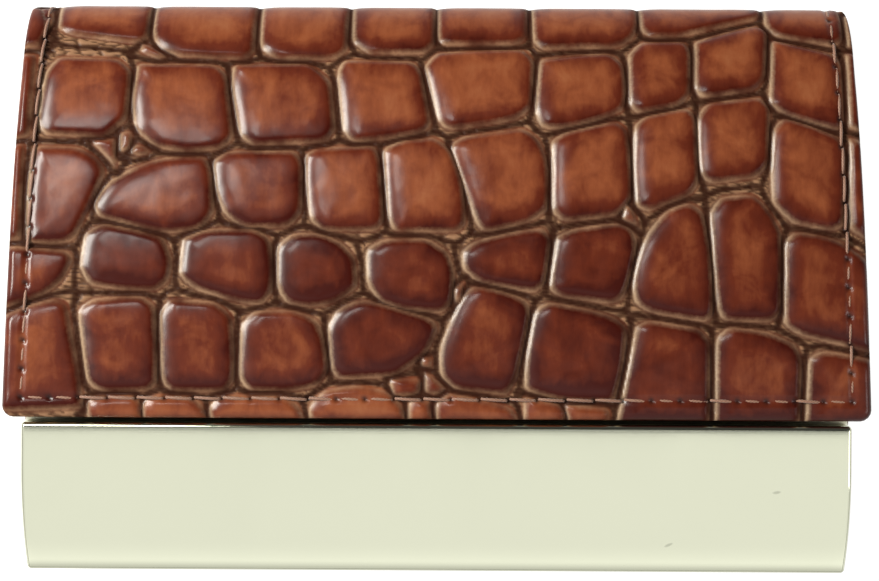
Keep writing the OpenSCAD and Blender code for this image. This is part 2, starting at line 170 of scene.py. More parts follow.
SCALES = [
    # the row at the spine
    (0.66, (-43, 54), (-43, 44.4), (-41.8, 43.4), (-37, 42.6), (-33.8, 42.2), (-32.9, 43), (-32.9, 54)),
    (0.66, (-32.2, 54), (-32.2, 43.2), (-31.2, 41.6), (-29.3, 40.6), (-21.6, 40.3), (-20.9, 41),
     (-20.9, 54)),
    (0.66, (-20, 54), (-20, 42), (-19.2, 40.9), (-17.8, 40.3), (-11.8, 40.3), (-10.5, 41.2),
     (-10.3, 54)),
    (0.62, (-9.7, 54), (-9.6, 42.6), (-7.8, 41.1), (-1.8, 41.1), (-0.6, 42.2), (-0.4, 54)),
    (0.68, (0, 54), (0, 42.9), (0.6, 42.3), (8.7, 42.3), (9.8, 43.2), (10.2, 54)),
    (0.64, (10.7, 54), (10.8, 42.8), (11.6, 41.8), (20.2, 42.1), (21.8, 43.2), (22.4, 45), (22.5, 54)),
    (0.6, (23, 54), (23, 44.4), (24, 43.5), (27.8, 43.5), (31.4, 44.7), (35.6, 46), (36.6, 47.2),
     (36.6, 54)),
    (0.64, (37.2, 54), (37.2, 44.9), (38.2, 43.7), (44.6, 42.4), (45.5, 43.2), (45.6, 54)),
    # second row
    (0.44, (-42.6, 40.1), (-36, 39.9), (-34.5, 38.4), (-34.8, 33), (-37, 30.9), (-43.6, 31.2),
     (-44.5, 32.4), (-43.9, 38.4)),
    (0.48, (-33.6, 39.3), (-25.2, 39.3), (-23.9, 38.2), (-22.9, 31), (-24, 29.7), (-28, 29.2),
     (-31.4, 29.9), (-33.5, 31.8), (-34.1, 35)),
    (0.46, (-22.8, 39.3), (-14.6, 39.5), (-12.2, 37.4), (-11.6, 31.8), (-12.6, 30.5), (-20.6, 30.1),
     (-21.9, 31.2), (-23.1, 37.5)),
    (0.54, (-10.6, 39.9), (-3, 39.8), (-2.1, 38.8), (-1, 32.6), (-1.8, 31.6), (-5.5, 30.8),
     (-9.4, 30.5), (-10.4, 31.6), (-11.2, 38.6)),
    (0.65, (-1.4, 39.4), (-0.2, 40.9), (4.5, 41.4), (9.4, 41.4), (10.6, 40), (10.2, 34.6), (8.8, 33.3),
     (5, 32.4), (1.2, 32), (0.2, 32.8)),
    (0.56, (11.5, 40.1), (14, 40.7), (19.2, 41), (20.6, 39.6), (20.9, 36), (20.4, 34.3), (17.5, 33),
     (13, 32.1), (11.6, 32.4), (10.9, 34)),
    (0.53, (21.5, 41), (22.9, 42.5), (27.6, 42.6), (28.2, 41.6), (27.9, 36.2), (26.8, 34.9),
     (22.3, 34.1), (21.4, 35)),
    (0.57, (29, 42.6), (31.5, 43.7), (36, 45), (37, 44.2), (36.4, 38.2), (35.2, 36.8), (29.7, 35.9),
     (28.8, 36.8)),
    (0.53, (37.7, 42.9), (40, 42.4), (44.3, 41.1), (45, 40), (45, 33), (44.4, 32.2), (42.5, 32.6),
     (38.5, 34), (37.1, 35.2)),
    # third row
    (0.35, (-44.7, 29.5), (-40, 29.5), (-37.8, 28.2), (-37, 26.8), (-38.4, 23.2), (-40.2, 19.4),
     (-42, 18.8), (-45.2, 19), (-45.4, 25)),
    (0.3, (-37.9, 23.2), (-36.6, 25.4), (-33.6, 27.3), (-30.4, 28.4), (-26, 28.5), (-25.2, 27.2),
     (-24.9, 22.4), (-26.2, 20.7), (-29.6, 20.1), (-34, 20.9), (-37.3, 21.9)),
    (0.27, (-24.8, 28), (-23.4, 29.1), (-16, 29.2), (-15.1, 28), (-15.2, 22.4), (-16.6, 20.9),
     (-21.4, 20.8), (-23.4, 22.2), (-24.5, 24.8)),
    (0.54, (-14.6, 28.8), (-13.6, 29.5), (-7.2, 29.8), (-6.6, 28.8), (-6.1, 21.6), (-6.8, 20.6),
     (-12.6, 20.5), (-13.9, 21.6), (-14.6, 26)),
    (0.6, (-6, 29.4), (-4.4, 30.4), (-0.5, 30.8), (1.2, 29.6), (2.7, 25.6), (2.9, 21.2), (2.2, 20.5),
     (-4.6, 20.5), (-5.3, 21.6)),
    (0.55, (1.4, 29.8), (2.6, 30.9), (9.4, 31.9), (11, 30.8), (12.1, 28), (12, 23), (10.4, 21.7),
     (7.5, 20.8), (5.2, 20.5), (4.3, 21.3), (2.9, 25.4)),
    (0.55, (12.8, 30.6), (14, 31.5), (19.6, 32.8), (20.8, 32), (21.4, 27.5), (21.2, 24), (19.8, 22.4),
     (14, 21.7), (12.8, 22.8)),
    (0.54, (22, 32.4), (23, 33.4), (27.6, 34.4), (28.5, 33.6), (28.7, 26), (27.8, 24.7), (23.2, 22.9),
     (22.1, 23.4), (21.7, 28)),
    (0.5, (29, 33.6), (30.2, 35), (35.8, 35.7), (36.8, 34.6), (36.5, 28.2), (35.2, 26.8), (30.2, 26.1),
     (29.2, 27), (28.9, 30)),
    (0.5, (37.4, 32.2), (38.6, 33.3), (41, 32.7), (44.5, 31.1), (45.1, 30), (44.7, 21.4), (43.6, 20.8),
     (39.4, 21.6), (37.2, 23.8), (37, 28)),
    # the fourth and fifth rows have lower tones: partly the leather's own colour, partly painted shade
    # fourth row
    (0.21, (-48.5, 18.4), (-45, 18.3), (-41, 17.9), (-40.4, 17), (-41.6, 14.6), (-43.6, 13.1),
     (-48.5, 11.6)),
    (0.02, (-38.8, 19.8), (-37, 20.9), (-33, 20.3), (-30.4, 19.4), (-29.4, 17), (-29.8, 14.8),
     (-31, 13.8), (-35, 13.8), (-38.2, 14.4), (-39.3, 16.2)),
    (0.16, (-28, 19.3), (-26, 20.3), (-20, 20.4), (-18.6, 19.3), (-18.2, 16.5), (-18.4, 13.4),
     (-19.6, 12.2), (-21, 12.3), (-26.6, 13.9), (-28.3, 15.4)),
    (0.02, (-17.6, 18.4), (-16.2, 19.8), (-13, 20), (-10.6, 18.9), (-9.2, 17.2), (-9, 14.2),
     (-11.4, 12.5), (-14.4, 12), (-16.4, 12.4), (-17.5, 14)),
    (0.16, (-7.7, 18.2), (-6, 19.3), (-1.2, 19.4), (1, 18), (1.8, 15.6), (1.4, 12.4), (0.4, 11.5),
     (-3.4, 11.7), (-6.2, 12.6), (-7.6, 14.6)),
    (0.16, (2.8, 18), (4.2, 19.2), (9.4, 20.5), (11.6, 20.6), (12.4, 19.4), (11.7, 14.6), (10.6, 13.8),
     (4.8, 14.8), (3, 16.2)),
    (0.11, (13.2, 19.6), (14.6, 20.5), (20, 21.3), (21.4, 20.6), (21.9, 19), (20.9, 14.4), (20.2, 13),
     (19.2, 12.6), (13.4, 13.4), (12.5, 14.2)),
    (0.31, (27.8, 23.6), (25.6, 22.9), (23.4, 20.4), (22.1, 17.4), (21.6, 14.4), (22, 12.6),
     (23.6, 11.6), (29.6, 10.7), (30.3, 11.6), (30.3, 15.4), (29.9, 19.6), (29.2, 22.6)),
    (0.31, (30.2, 22.6), (31.4, 24.2), (34.8, 24.5), (36.3, 23.2), (37.8, 20.4), (37.7, 11.6),
     (36.6, 10.7), (31.8, 10.8), (31, 11.8), (30.3, 19)),
    (0.26, (38.5, 19.4), (39.6, 20.4), (43.4, 19.8), (46.6, 18), (48.5, 16), (48.5, 7.2), (44, 8.2),
     (39.8, 9.3), (38.4, 10.4)),
    # fifth row
    (0.36, (-48.5, 10.2), (-44.8, 12), (-42.2, 12.5), (-41, 12), (-39.7, 6), (-39, 0.8), (-48.5, 0.4)),
    (0.26, (-39.4, 11.4), (-38, 12.5), (-32.6, 12.9), (-31.2, 11.8), (-30.9, 3.6), (-31.8, 2.7),
     (-37, 2.6), (-38.4, 3.6), (-39.1, 8)),
    (0.26, (-30.4, 11.2), (-29.4, 12.5), (-24.6, 12.3), (-22.8, 10.8), (-22.4, 7), (-22.5, 3.8),
     (-23.4, 2.7), (-29.2, 2.7), (-30.2, 3.8)),
    (0.31, (-21.4, 10), (-20, 11.3), (-15.6, 11.4), (-13.2, 10.2), (-12.3, 7.6), (-12.1, 5),
     (-13.2, 3.4), (-15.4, 2.8), (-20.6, 2.8), (-21.6, 4)),
    (0.06, (-11.9, 9.8), (-11, 11.4), (-9, 12.5), (-7.4, 12.6), (-4.6, 11.9), (-0.8, 10.7), (-0.1, 9.8),
     (-1.2, 7), (-4.6, 4.5), (-10.6, 4.1), (-11.5, 4.9)),
    (0.21, (4.2, 14.2), (3, 13.4), (1.4, 10.2), (0.4, 7.2), (0.6, 4.4), (2, 3.1), (7.6, 2.5), (8.6, 4),
     (9.8, 9), (10.2, 11.2), (9.8, 12.6), (7.4, 13.7)),
    (0.06, (10.8, 11.4), (12, 12.4), (14.6, 12.2), (19.6, 10.8), (20.7, 9.8), (20.5, 6), (19.4, 1.8),
     (14, 1.8), (9.9, 3), (9.8, 6)),
    (0.11, (21.9, 9.8), (23.4, 10.5), (28.8, 9.6), (29.9, 8.2), (29.9, -1), (19.8, -1), (21, 5)),
    (0.21, (30.9, 8.6), (32.2, 9.8), (36.4, 9.3), (39.3, 8), (40, 6.6), (39.8, -1), (30.8, -1)),
    (0.21, (41.1, 6.4), (42.2, 7.2), (45, 7), (48.5, 6), (48.5, -1), (40.8, -1)),
    # the row that the lower edge cuts off
    (0.8, (-38.4, 1.2), (-37, 1.9), (-33.4, 2), (-32.6, 1.2), (-32.8, -1), (-38.2, -1)),
    (0.8, (-32.3, 1.2), (-31.4, 1.9), (-27, 1.8), (-25.8, 0.8), (-25.4, -1), (-32.2, -1)),
    (0.8, (-24.9, 0.8), (-24, 1.9), (-17, 2), (-15.4, 1), (-14.6, -1), (-24.8, -1)),
    (0.8, (-13.9, 1), (-12.4, 2.5), (-9, 3.2), (-5.2, 2.4), (-3.8, 0.8), (-3.6, -1), (-13.8, -1)),
    (0.8, (-2.9, 1.5), (-2, 1.9), (-0.9, 1.5), (-0.6, -1), (-3, -1)),
    (0.8, (0, 1.2), (1.2, 2.3), (5.6, 1.6), (8.2, 0.7), (9, -1), (0.2, -1)),
    (0.8, (9.8, 1.9), (13.4, 1.3), (14.2, 0.2), (13.4, -1), (9.8, -1)),
    (0.8, (14.2, 1.2), (18.6, 0.9), (19, 0), (18.6, -1), (14.8, -1)),
    # small scales in the widest gaps
    (0.6, (-38.2, 30.3), (-36, 30.5), (-35.9, 27.9)),
    (0.5, (-35.2, 31.2), (-34.2, 31.3), (-34.3, 29.6), (-35.2, 29.3)),
    (0.5, (-33.6, 29.9), (-32.2, 29.3), (-32.6, 28.9), (-34, 29.1)),
    (0.6, (-33.4, 42.2), (-32, 41.4), (-30.8, 40.6), (-31.4, 40.3), (-33.4, 41.2)),
    (0.6, (-5, 3.9), (-1.9, 3.9), (-2.1, 2.5), (-4.7, 2.3)),
    (0.6, (-1.2, 4.6), (0.8, 3), (0.2, 2.5), (-1.1, 2.7)),
    (0.6, (-1.6, 6.3), (-0.8, 6.3), (-0.8, 5.5), (-1.5, 5.4)),
    (0.5, (-45.6, 47.6), (-44.4, 47.8), (-43.8, 45), (-44.6, 43.6)),
    (0.5, (20.8, 23.6), (21.6, 22.6), (21.8, 21.4), (20.6, 21.9)),
    (0.5, (1.9, 14), (2.7, 14.4), (2.6, 12.9), (2.1, 12.4)),
    # narrow scales along the two sides
    (0.5, (-47.4, 48), (-45.4, 47.6), (-44.2, 44.4), (-45, 41.8), (-47.4, 41.6)),
    (0.55, (-47.6, 40.6), (-45.4, 40.4), (-45.6, 31), (-47.8, 30.6)),
    (0.55, (-48.2, 29.8), (-46.2, 29.8), (-46.2, 19.4), (-48.4, 19.2)),
    (0.5, (46.3, 47), (48, 47), (48, 42), (46.3, 42.2)),
    (0.5, (46, 41.2), (48, 40.8), (48, 32.2), (45.9, 32.4)),
    (0.5, (45.9, 31), (48.2, 30.2), (48.4, 19.4), (45.7, 21)),
]

FLAP_PATTERN_END = 54.0
PATTERN_LOW = 0.4      # how far the pattern's zero lies above the flap's lower edge
PATTERN_SEED = 7
SCALE_REACH = 3.0      # how far outside a scale its outline is followed
CORNER_SOFTNESS = 5.0  # more gives a scale sharper corners
SCALE_GROWTH = 0.2     # how far a scale's edge lies outside its corners' outline

# the scales past the spine: their height, width, cut corners, gap and the slant of their sides
BACK_HEIGHT, BACK_WIDTH, BACK_CUT = (8.4, 9.8), (8.2, 11), (0.5, 1.2)
BACK_GAP, BACK_LEAN = 0.55, 0.9
# the height of the waves in their rows, their length and how much the next row's wave is ahead
WAVE_HEIGHT, WAVE_LENGTH, WAVE_LEAD = 0.9, 17, 1.3


def back_scales(rng):
    """The scales past the spine: rows of nearly square scales with wavy rows and slanting sides."""
    scales = []
    low = FLAP_PATTERN_END + BACK_GAP
    while low < HIDE_L:
        height = rng.uniform(*BACK_HEIGHT)
        wave = rng.uniform(0, 2 * math.pi)
        x = -COVER_W / 2 - rng.uniform(0, 6)
        lean = 0.0
        while x < COVER_W / 2:
            width = rng.uniform(*BACK_WIDTH)
            next_lean = rng.uniform(-BACK_LEAN, BACK_LEAN)
            cut = rng.uniform(*BACK_CUT, 4)
            left, right = x + BACK_GAP / 2, x + width - BACK_GAP / 2
            # x, lower or upper side and step in from it, from the lower left round to the upper left
            turns = (
                (left - lean, 0, cut[0]), (left - lean + cut[0], 0, 0),
                (right - next_lean - cut[1], 0, 0), (right - next_lean, 0, cut[1]),
                (right + next_lean, 1, -cut[2]), (right + next_lean - cut[2], 1, 0),
                (left + lean + cut[3], 1, 0), (left + lean, 1, -cut[3]),
            )
            outline = []
            for px, top, trim in turns:
                swing = WAVE_HEIGHT * math.sin(px / WAVE_LENGTH + wave + WAVE_LEAD * top)
                outline.append((px, low + (height - BACK_GAP) * top + swing + trim))
            scales.append((rng.uniform(0.2, 0.6), *outline))
            lean = next_lean
            x += width
        low += height
    return scales


def edge_distance(outline, x, s):
    """How far inside a convex outline each point is, with softly rounded corners, and how much the
    outline's side there faces left and up."""
    p = np.array(outline, float)
    if np.sum(p[:, 0] * np.roll(p[:, 1], -1) - p[:, 1] * np.roll(p[:, 0], -1)) < 0:
        p = p[::-1]
    along = unit(np.roll(p, -1, 0) - p)
    total = np.zeros(x.shape)
    left, above = np.zeros(x.shape), np.zeros(x.shape)
    for start, (ax, as_) in zip(p, along):
        edge = ax * (s - start[1]) - as_ * (x - start[0])
        weight = np.exp(np.clip(-CORNER_SOFTNESS * edge, -60, 60))
        total += weight
        left += weight * max(0.0, -as_)
        above += weight * max(0.0, -ax)
    return -np.log(total) / CORNER_SOFTNESS + SCALE_GROWTH, left / total, above / total


def scale_field(x, s):
    """For each point: how far inside the nearest scale it is (negative in a groove), how much nearer
    that scale is than the next one, how much its side there faces left and up, the scale's tone, and
    the point's height in the scale from -1 to 1."""
    rng = np.random.default_rng(PATTERN_SEED)
    inside = np.full(x.shape, -SCALE_REACH)
    second = np.full(x.shape, -SCALE_REACH)
    left, above = np.zeros(x.shape), np.zeros(x.shape)
    tone = np.full(x.shape, 0.5)
    up = np.zeros(x.shape)
    s = s - PATTERN_LOW
    for shade, *outline in SCALES + back_scales(rng):
        low, high = np.min(outline, 0), np.max(outline, 0)
        near = np.nonzero((x > low[0] - SCALE_REACH) & (x < high[0] + SCALE_REACH)
                          & (s > low[1] - SCALE_REACH) & (s < high[1] + SCALE_REACH))[0]
        if not len(near):
            continue
        d, d_left, d_above = edge_distance(outline, x[near], s[near])
        better = d > inside[near]
        second[near] = np.where(better, inside[near], np.maximum(second[near], d))
        hit = near[better]
        inside[hit] = d[better]
        left[hit] = d_left[better]
        above[hit] = d_above[better]
        tone[hit] = shade
        up[hit] = (2 * s[hit] - low[1] - high[1]) / (high[1] - low[1])
    return inside, inside - second, left, above, tone, up.clip(-1.2, 1.2)


def cells(x, s, width, height, seed):
    """How far each point is from the walls between small random cells of about the given size."""
    u, v = x / width, s / height
    iu, iv = np.floor(u).astype(int), np.floor(v).astype(int)
    first = np.full(x.shape, 9.0)
    second = np.full(x.shape, 9.0)
    table = np.random.default_rng(seed).random((256, 256, 2))
    for du in (-1, 0, 1):
        for dv in (-1, 0, 1):
            spot = table[(iu + du) % 256, (iv + dv) % 256]
            d = np.hypot(u - (iu + du + spot[..., 0]), v - (iv + dv + spot[..., 1]))
            second = np.minimum(second, np.maximum(first, d))
            first = np.minimum(first, d)
    return second - first


def smooth_noise(x, s, size, seed):
    """Soft random hills of about the given size, from -1 to 1."""
    table = np.random.default_rng(seed).uniform(-1, 1, (128, 128))
    u, v = x / size, s / size
    iu, iv = np.floor(u).astype(int), np.floor(v).astype(int)
    fu, fv = ease(u - iu, 0, 1), ease(v - iv, 0, 1)
    west, east = iu % 128, (iu + 1) % 128
    south, north = iv % 128, (iv + 1) % 128
    low = table[west, south] * (1 - fu) + table[east, south] * fu
    high = table[west, north] * (1 - fu) + table[east, north] * fu
    return low * (1 - fv) + high * fv


# ---- the seam ----


def seam_side(side):
    """Needle holes (x, s) up one side of the hide, from the lip's corner to the back's end."""
    low, high = SEAM_INSET, HIDE_L - SEAM_INSET
    count = round((high - low) / STITCH_PITCH)
    s = np.linspace(low, high, count + 1)
    return np.stack([side * (half_width(s) - SEAM_INSET), s], 1)


def seam_end(s):
    """Needle holes along the flap's lower edge or the back panel's."""
    half = float(half_width(s)) - SEAM_INSET
    count = round(2 * half / STITCH_PITCH)
    x = np.linspace(-half, half, count + 1)
    return np.stack([x, np.full_like(x, s)], 1)


SEAMS = [seam_side(-1), seam_side(1), seam_end(SEAM_INSET), seam_end(HIDE_L - SEAM_INSET)]


def seam_distance(x, s):
    """Distance from the line of the seam, and from its nearest needle hole."""
    side = np.abs(half_width(s) - SEAM_INSET - np.abs(x))
    side = np.where((s > SEAM_INSET) & (s < HIDE_L - SEAM_INSET), side, 9.0)
    over = np.abs(x) > half_width(s) - SEAM_INSET
    end = np.minimum(np.abs(s - SEAM_INSET), np.abs(s - (HIDE_L - SEAM_INSET)))
    end = np.where(over, 9.0, end)
    hole = np.full(x.shape, 9.0)
    for seam in SEAMS:
        for hx, hs in seam:
            near = np.nonzero((np.abs(x - hx) < 1) & (np.abs(s - hs) < 1))[0]
            hole[near] = np.minimum(hole[near], np.hypot(x[near] - hx, s[near] - hs))
    return np.minimum(side, end), hole


# ---- meshes ----


def make_mesh(name, points, faces, smooth=True):
    """A mesh object from points in millimetres; faces are an array of equal ones or a list."""
    mesh = bpy.data.meshes.new(name)
    points = np.asarray(points, float) * MM
    if isinstance(faces, np.ndarray):
        mesh.vertices.add(len(points))
        mesh.vertices.foreach_set("co", points.ravel())
        mesh.loops.add(faces.size)
        mesh.loops.foreach_set("vertex_index", faces.ravel().astype(np.int32))
        mesh.polygons.add(len(faces))
        sides = faces.shape[1]
        mesh.polygons.foreach_set("loop_start", np.arange(0, faces.size, sides, dtype=np.int32))
        mesh.update(calc_edges=True)
    else:
        mesh.from_pydata(points.tolist(), [], faces)
    mesh.polygons.foreach_set("use_smooth", np.full(len(mesh.polygons), smooth))
    mesh.validate()
    mesh.update()
    obj = bpy.data.objects.new(name, mesh)
    bpy.context.scene.collection.objects.link(obj)
    return obj


def set_values(obj, name, values):
    """One number or vector on every vertex, for the materials."""
    values = np.asarray(values, np.float32)
    kind, field = ("FLOAT", "value") if values.ndim == 1 else ("FLOAT_VECTOR", "vector")
    made = obj.data.attributes.new(name, kind, "POINT")
    made.data.foreach_set(field, values.ravel())


def grid_faces(rows, columns, first=0, flip=False):
    """Quads of a grid of vertices numbered row by row."""
    r, c = np.meshgrid(np.arange(rows - 1), np.arange(columns - 1), indexing="ij")
    a = (first + r * columns + c).ravel()
    quad = np.stack([a, a + 1, a + columns + 1, a + columns], 1)
    return quad[:, ::-1] if flip else quad


def ring_faces(inner, outer, flip=False):
    """Quads between two closed loops of vertex numbers."""
    quad = np.stack([inner, np.roll(inner, -1), np.roll(outer, -1), outer], 1)
    return quad[:, ::-1] if flip else quad


def border(rows, columns):
    """A grid's border as a closed loop of vertex numbers: low row, right, high row, left."""
    low = np.arange(columns)
    right = np.arange(1, rows) * columns + columns - 1
    high = (rows - 1) * columns + np.arange(columns - 2, -1, -1)
    left = np.arange(rows - 2, 0, -1) * columns
    return np.concatenate([low, right, high, left])


def loop_normals(loop):
    """Outward unit normals of a closed loop of flat points that runs anticlockwise."""
    run = np.roll(loop, -1, 0) - np.roll(loop, 1, 0)
    return unit(np.stack([run[:, 1], -run[:, 0]], 1))


def lay_out(half, s_rows, columns):
    """A grid with rows of these half widths: its points, its border's points and their normals."""
    across = (half[:, None] * np.linspace(-1, 1, columns)).ravel()
    flat = np.column_stack([across, np.repeat(s_rows, columns)])
    edge = flat[border(len(s_rows), columns)]
    return flat, edge, loop_normals(edge)


def layer(flat, depth, fade=0.0):
    """Rows of x, s, depth and the share of the embossing that is left there."""
    every = np.ones(len(flat))
    return np.column_stack([flat, every * depth, every * fade])


def evenly(low, high, step):
    """Even places from low to high, about step apart."""
    return np.linspace(low, high, max(2, round((high - low) / step)) + 1)


def sheet_faces(rows, columns, rings):
    """Faces of a closed sheet: a grid, rings of vertices from its border round to the far side, and a
    strip of quads across the far side. The grid's vertices come first, then the rings in turn."""
    loop = border(rows, columns)
    faces = [grid_faces(rows, columns)]
    previous = loop
    for ring in range(rings):
        here = rows * columns + ring * len(loop) + np.arange(len(loop))
        faces.append(ring_faces(previous, here, flip=True))
        previous = here
    right = previous[columns - 1:columns - 1 + rows]
    left = np.concatenate([[previous[0]], previous[:-rows:-1]])
    faces.append(np.stack([right[:-1], left[:-1], left[1:], right[1:]], 1))
    return np.concatenate(faces)


# a scale's rounded edge and how much wider it is on the left, its face's height and its swell
BEVEL_W, BEVEL_MORE, DOME_H, SWELL_H = 0.34, 0.54, 0.48, 0.06
# how far its foot lies below the plain cover, the gaps below that and the lines below the gaps
FOOT_DEPTH, GAP_DEPTH, LINE_DEPTH = 0.43, 0.06, 0.08
# the ridges of the wrinkled skin
RIDGE_H, RIDGE_LENGTH, RIDGE_WIDTH = 0.22, 2.0, 0.5
# how much the spine and the seam flatten the scales, and the depth of the seam's line and holes
SPINE_SMOOTHING, SEAM_SMOOTHING, PULL_DEPTH, HOLE_DEPTH = 0.7, 0.3, 0.09, 0.24


def relief(x, s):
    """Height of the embossed leather above the plain cover, and what its material needs to know."""
    inside, rival, left, above, tone, up = scale_field(x, s)
    line, hole = seam_distance(x, s)
    rim = np.clip(inside, 0, None)
    bevel = BEVEL_W + BEVEL_MORE * left
    dome = DOME_H * (1 - np.exp(-((rim / bevel) ** 1.2))) + SWELL_H * ease(rim, 0.2, 3.0)
    valley = (1 - ease(rival, 0.30, 0.95)) * (1 - ease(inside, 0.02, 0.26))
    wide = ease(-inside, 0.16, 0.42)
    bent_x = x + 0.8 * smooth_noise(x, s, 2.1, 3)
    bent_s = s + 0.5 * smooth_noise(x, s, 1.5, 4)
    ridge = ease(cells(bent_x, bent_s, RIDGE_LENGTH, RIDGE_WIDTH, 5), 0.03, 0.55)
    uneven = 0.03 * smooth_noise(x, s, 3.1, 11) + 0.012 * smooth_noise(x, s, 1.1, 12)
    height = (dome - FOOT_DEPTH - GAP_DEPTH * ease(-inside, -0.05, 0.2) - LINE_DEPTH * valley
              + RIDGE_H * wide * ridge + uneven * ease(inside, 0, 0.8))
    # the leather is stretched smoother over the spine
    height *= 1 - SPINE_SMOOTHING * ease(s, 45, 50) * (1 - ease(s, 56, 62))
    # the seam pulls the leather down along its line and dents it at each needle hole
    pull = 1 - ease(line, 0.12, 0.6)
    dent = np.exp(-((hole / 0.26) ** 2))
    height = height * (1 - SEAM_SMOOTHING * pull) - PULL_DEPTH * pull - HOLE_DEPTH * dent
    # the rubbed rims and the grooves are duller than the scales, but for the left and upper sides
    top = ease(inside, 0.35, 1.2)
    gloss = top + (1 - top) * (left + 0.6 * above).clip(0, 1) * ease(inside, -0.1, 0.1)
    return height, dict(inside=inside, tone=tone, up=up, valley=valley, wide=wide, ridge=ridge,
                        left=left, gloss=gloss, hole=np.exp(-((hole / 0.30) ** 2)))


def make_hide():
    """The outer leather, one closed piece: embossed face, rolled edges, hem and inner side."""
    roll_low, roll_high = fold_depth(0) / 2, fold_depth(HIDE_L) / 2
    corner = CORNER_R - roll_low
    columns, fine, coarse = 470, 0.21, 0.5
    bend = corner * (1 - np.cos(np.radians([0, 22, 45, 66])))
    s_rows = np.concatenate([
        roll_low + bend,
        evenly(roll_low + corner, SPINE_S + 2, fine),
        evenly(SPINE_S + 2, HIDE_L - roll_high - corner, coarse)[1:],
        HIDE_L - roll_high - bend[::-1],
    ])
    from_end = np.minimum(s_rows - roll_low, HIDE_L - roll_high - s_rows).clip(0, corner)
    cut = corner - np.sqrt((corner ** 2 - (corner - from_end) ** 2).clip(0))
    half = half_width(s_rows) - fold_depth(s_rows) / 2 - cut
    flat, edge, out = lay_out(half, s_rows, columns)
    roll = fold_depth(edge[:, 1]) / 2

    layers = [layer(flat, 0, 1)]
    for angle in np.radians([20, 42, 65, 90, 115, 145, 180]):
        layers.append(layer(edge + out * roll[:, None] * math.sin(angle),
                            roll * (1 - math.cos(angle)), max(0.0, math.cos(angle)) ** 0.7))
    # the hem goes in under the lining, turns up and comes back, and the inner side closes the piece
    skin, turn = LEATHER_T + 0.02, 0.85
    hem_top = np.maximum(2 * roll - HEM_T, skin)
    for inset, level in ((HEM_W, 2 * roll), (HEM_W, hem_top), (turn, hem_top), (turn, skin)):
        layers.append(layer(edge - out * (inset - roll)[:, None], level))
    x, s, depth, fade = np.concatenate(layers).T
    height, looks = relief(x, s)
    faces = sheet_faces(len(s_rows), columns, len(layers) - 1)[:, ::-1]
    obj = make_mesh("cover_leather_hide", place(x, s, depth - height * fade), faces)
    for name, values in looks.items():
        set_values(obj, name, values)
    set_values(obj, "hide", np.stack([x, s, depth], 1))
    return obj


def make_lining():
    """The lining inside flap, spine and back panel: one thin closed sheet with soft edges."""
    round_r = 0.22
    columns = 150
    s_rows = evenly(LINING_INSET + round_r, HIDE_L - LINING_INSET - round_r, 0.62)
    flat, edge, out = lay_out(half_width(s_rows) - LINING_INSET - round_r, s_rows, columns)
    x, s = flat.T
    line, _ = seam_distance(x, s)
    sink = 0.10 * (1 - ease(line, 0.2, 0.9)) + 0.05 * (1 + smooth_noise(x, s, 9, 21)) / 2
    bottom = fold_depth(edge[:, 1])
    layers = [layer(flat, fold_depth(s) + LINING_T - sink)]
    for angle in np.radians([30, 60, 90]):
        layers.append(layer(edge + out * round_r * math.sin(angle),
                            bottom + LINING_T - round_r * (1 - math.cos(angle))))
    layers.append(layer(edge + out * round_r, bottom + 0.03))
    x, s, depth, _ = np.concatenate(layers).T
    faces = sheet_faces(len(s_rows), columns, len(layers) - 1)
    obj = make_mesh("cover_lining", place(x, s, depth), faces)
    set_values(obj, "hide", np.stack([x, s, depth], 1))
    return obj


def stitch_tube(start, end, inner):
    """One stitch, a twisted three-ply tube that dives into its holes: points, faces, ply height."""
    sides, rings = 12, 15
    (x0, s0), (x1, s1) = start, end
    t = np.linspace(0.05, 0.95, rings)
    x, s = x0 + (x1 - x0) * t, s0 + (s1 - s0) * t
    dive = 0.30 - 0.38 * np.sin(math.pi * t) ** 0.6
    middle = place(x, s, fold_depth(s) + LINING_T - dive if inner else 0.20 + dive)
    tangent = unit(np.gradient(middle, axis=0))
    outward = np.column_stack([np.zeros(rings), on_path(s, PATH_N)])
    side = unit(np.cross(tangent, outward))
    up = np.cross(side, tangent)
    turn = np.linspace(0, 2 * math.pi, sides, endpoint=False)
    ply = 1 + 0.13 * np.cos(3 * (turn[None, :] + 4.2 * math.pi * t[:, None]))
    radius = THREAD_R * ply * (0.72 + 0.28 * np.sin(math.pi * t) ** 0.5)[:, None]
    tube = (middle[:, None, :] + (np.cos(turn) * radius)[..., None] * side[:, None, :]
            + (np.sin(turn) * radius)[..., None] * up[:, None, :])
    points = np.concatenate([tube.reshape(-1, 3), middle[[0, -1]]])
    ring = np.arange(sides)
    last = (rings - 1) * sides
    faces = []
    for low in range(0, last, sides):
        faces += ring_faces(low + ring, low + sides + ring).tolist()
    faces += [(rings * sides, b, a) for a, b in zip(ring, np.roll(ring, -1))]
    faces += [(rings * sides + 1, last + a, last + b) for a, b in zip(ring, np.roll(ring, -1))]
    return points, faces, np.concatenate([ply.ravel(), [0.9, 0.9]])


def make_thread(name, inner):
    """Every stitch of the seam on one face; each slants a little in its pair of holes."""
    points, faces, ply = [], [], []
    first = 0
    slant = 0.10
    for seam in SEAMS:
        for start, end in zip(seam[:-1], seam[1:]):
            along = (end - start) / np.linalg.norm(end - start)
            aside = slant * np.array([-along[1], along[0]])
            tube, tube_faces, tube_ply = stitch_tube(start + aside, end - aside, inner)
            points.append(tube)
            faces += [tuple(first + v for v in face) for face in tube_faces]
            ply.append(tube_ply)
            first += len(tube)
    obj = make_mesh(name, np.concatenate(points), faces)
    set_values(obj, "ply", np.concatenate(ply))
    return obj


# ---- the steel tray ----

